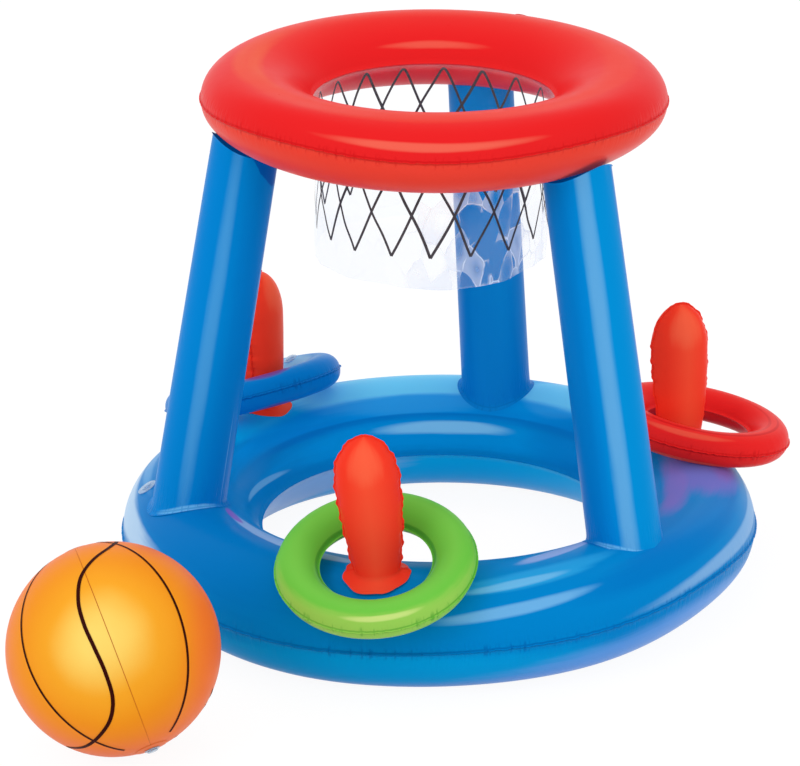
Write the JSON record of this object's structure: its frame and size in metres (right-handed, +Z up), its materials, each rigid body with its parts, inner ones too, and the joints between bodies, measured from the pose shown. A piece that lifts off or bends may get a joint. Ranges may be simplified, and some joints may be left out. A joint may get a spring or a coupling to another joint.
{
  "type": "floating basketball hoop",
  "caption": "Inflatable pool hoop: a blown base ring with legs carrying a hoop and a clear printed skirt, toss pegs with loose rings, and an inflatable ball",
  "frame": {"origin": "on the surface it rests on, under the middle of the whole set's outline", "axes": "+Z up, -Y towards the side that the ball lies on, +X to the right seen from there"},
  "size_m": [0.717, 0.7794, 0.512],
  "materials": {
    "blue_vinyl": "gloss",
    "red_vinyl": "satin",
    "clear_vinyl": "gloss",
    "net_ink": "gloss",
    "peg_vinyl": "gloss",
    "green_ring_vinyl": "gloss",
    "blue_ring_vinyl": "gloss",
    "red_ring_vinyl": "gloss",
    "ball_vinyl": "gloss",
    "clear_valve": "gloss",
    "red_valve": "gloss"
  },
  "bodies": {
    "frame": {"base_upper_panel": "blue_vinyl", "base_lower_panel": "blue_vinyl", "back_leg": "blue_vinyl", "left_leg": "blue_vinyl", "right_leg": "blue_vinyl", "hoop_upper_panel": "red_vinyl", "hoop_lower_panel": "red_vinyl", "net_skirt": "clear_vinyl", "net_print": "net_ink", "front_peg_front_panel": "peg_vinyl", "front_peg_back_panel": "peg_vinyl", "left_peg_front_panel": "peg_vinyl", "left_peg_back_panel": "peg_vinyl", "right_peg_front_panel": "peg_vinyl", "right_peg_back_panel": "peg_vinyl", "base_valve": "clear_valve", "hoop_valve": "red_valve"},
    "green_ring": {"green_ring_upper_panel": "green_ring_vinyl", "green_ring_lower_panel": "green_ring_vinyl", "green_ring_valve": "clear_valve"},
    "blue_ring": {"blue_ring_upper_panel": "blue_ring_vinyl", "blue_ring_lower_panel": "blue_ring_vinyl", "blue_ring_valve": "clear_valve"},
    "red_ring": {"red_ring_upper_panel": "red_ring_vinyl", "red_ring_lower_panel": "red_ring_vinyl", "red_ring_valve": "clear_valve"},
    "ball": {"ball_gore_1": "ball_vinyl", "ball_gore_2": "ball_vinyl", "ball_gore_3": "ball_vinyl", "ball_gore_4": "ball_vinyl", "ball_valve_patch": "ball_vinyl", "ball_end_patch": "ball_vinyl", "ball_valve": "clear_valve"},
    "base_valve_plug": {"base_valve_plug": "clear_valve"},
    "hoop_valve_plug": {"hoop_valve_plug": "red_valve"},
    "green_ring_valve_plug": {"green_ring_valve_plug": "clear_valve"},
    "blue_ring_valve_plug": {"blue_ring_valve_plug": "clear_valve"},
    "red_ring_valve_plug": {"red_ring_valve_plug": "clear_valve"},
    "ball_valve_plug": {"ball_valve_plug": "clear_valve"}
  },
  "joints": [
    {"name": "green_ring_lift", "type": "slide", "parent": "frame", "child": "green_ring", "axis": [0, 0, 1], "range_m": [0, 0.25]},
    {"name": "blue_ring_lift", "type": "slide", "parent": "frame", "child": "blue_ring", "axis": [0, 0, 1], "range_m": [0, 0.25]},
    {"name": "red_ring_lift", "type": "slide", "parent": "frame", "child": "red_ring", "axis": [0, 0, 1], "range_m": [0, 0.25]},
    {"name": "ball_lift", "type": "slide", "parent": "frame", "child": "ball", "axis": [0, 0, 1], "range_m": [0, 0.6]},
    {"name": "base_valve_plug_pull", "type": "slide", "parent": "frame", "child": "base_valve_plug", "axis": [-0.5415, -0.0426, 0.8396], "range_m": [0, 0.01]},
    {"name": "hoop_valve_plug_pull", "type": "slide", "parent": "frame", "child": "hoop_valve_plug", "axis": [0.276, 0.5634, 0.7787], "range_m": [0, 0.01]},
    {"name": "green_ring_valve_plug_pull", "type": "slide", "parent": "green_ring", "child": "green_ring_valve_plug", "axis": [-0.0243, -0.5977, 0.8013], "range_m": [0, 0.01]},
    {"name": "blue_ring_valve_plug_pull", "type": "slide", "parent": "blue_ring", "child": "blue_ring_valve_plug", "axis": [-0.418, -0.013, 0.9084], "range_m": [0, 0.01]},
    {"name": "red_ring_valve_plug_pull", "type": "slide", "parent": "red_ring", "child": "red_ring_valve_plug", "axis": [0.2143, -0.2559, 0.9426], "range_m": [0, 0.01]},
    {"name": "ball_valve_plug_pull", "type": "slide", "parent": "ball", "child": "ball_valve_plug", "axis": [0.3671, -0.5141, -0.7752], "range_m": [0, 0.01]}
  ]
}
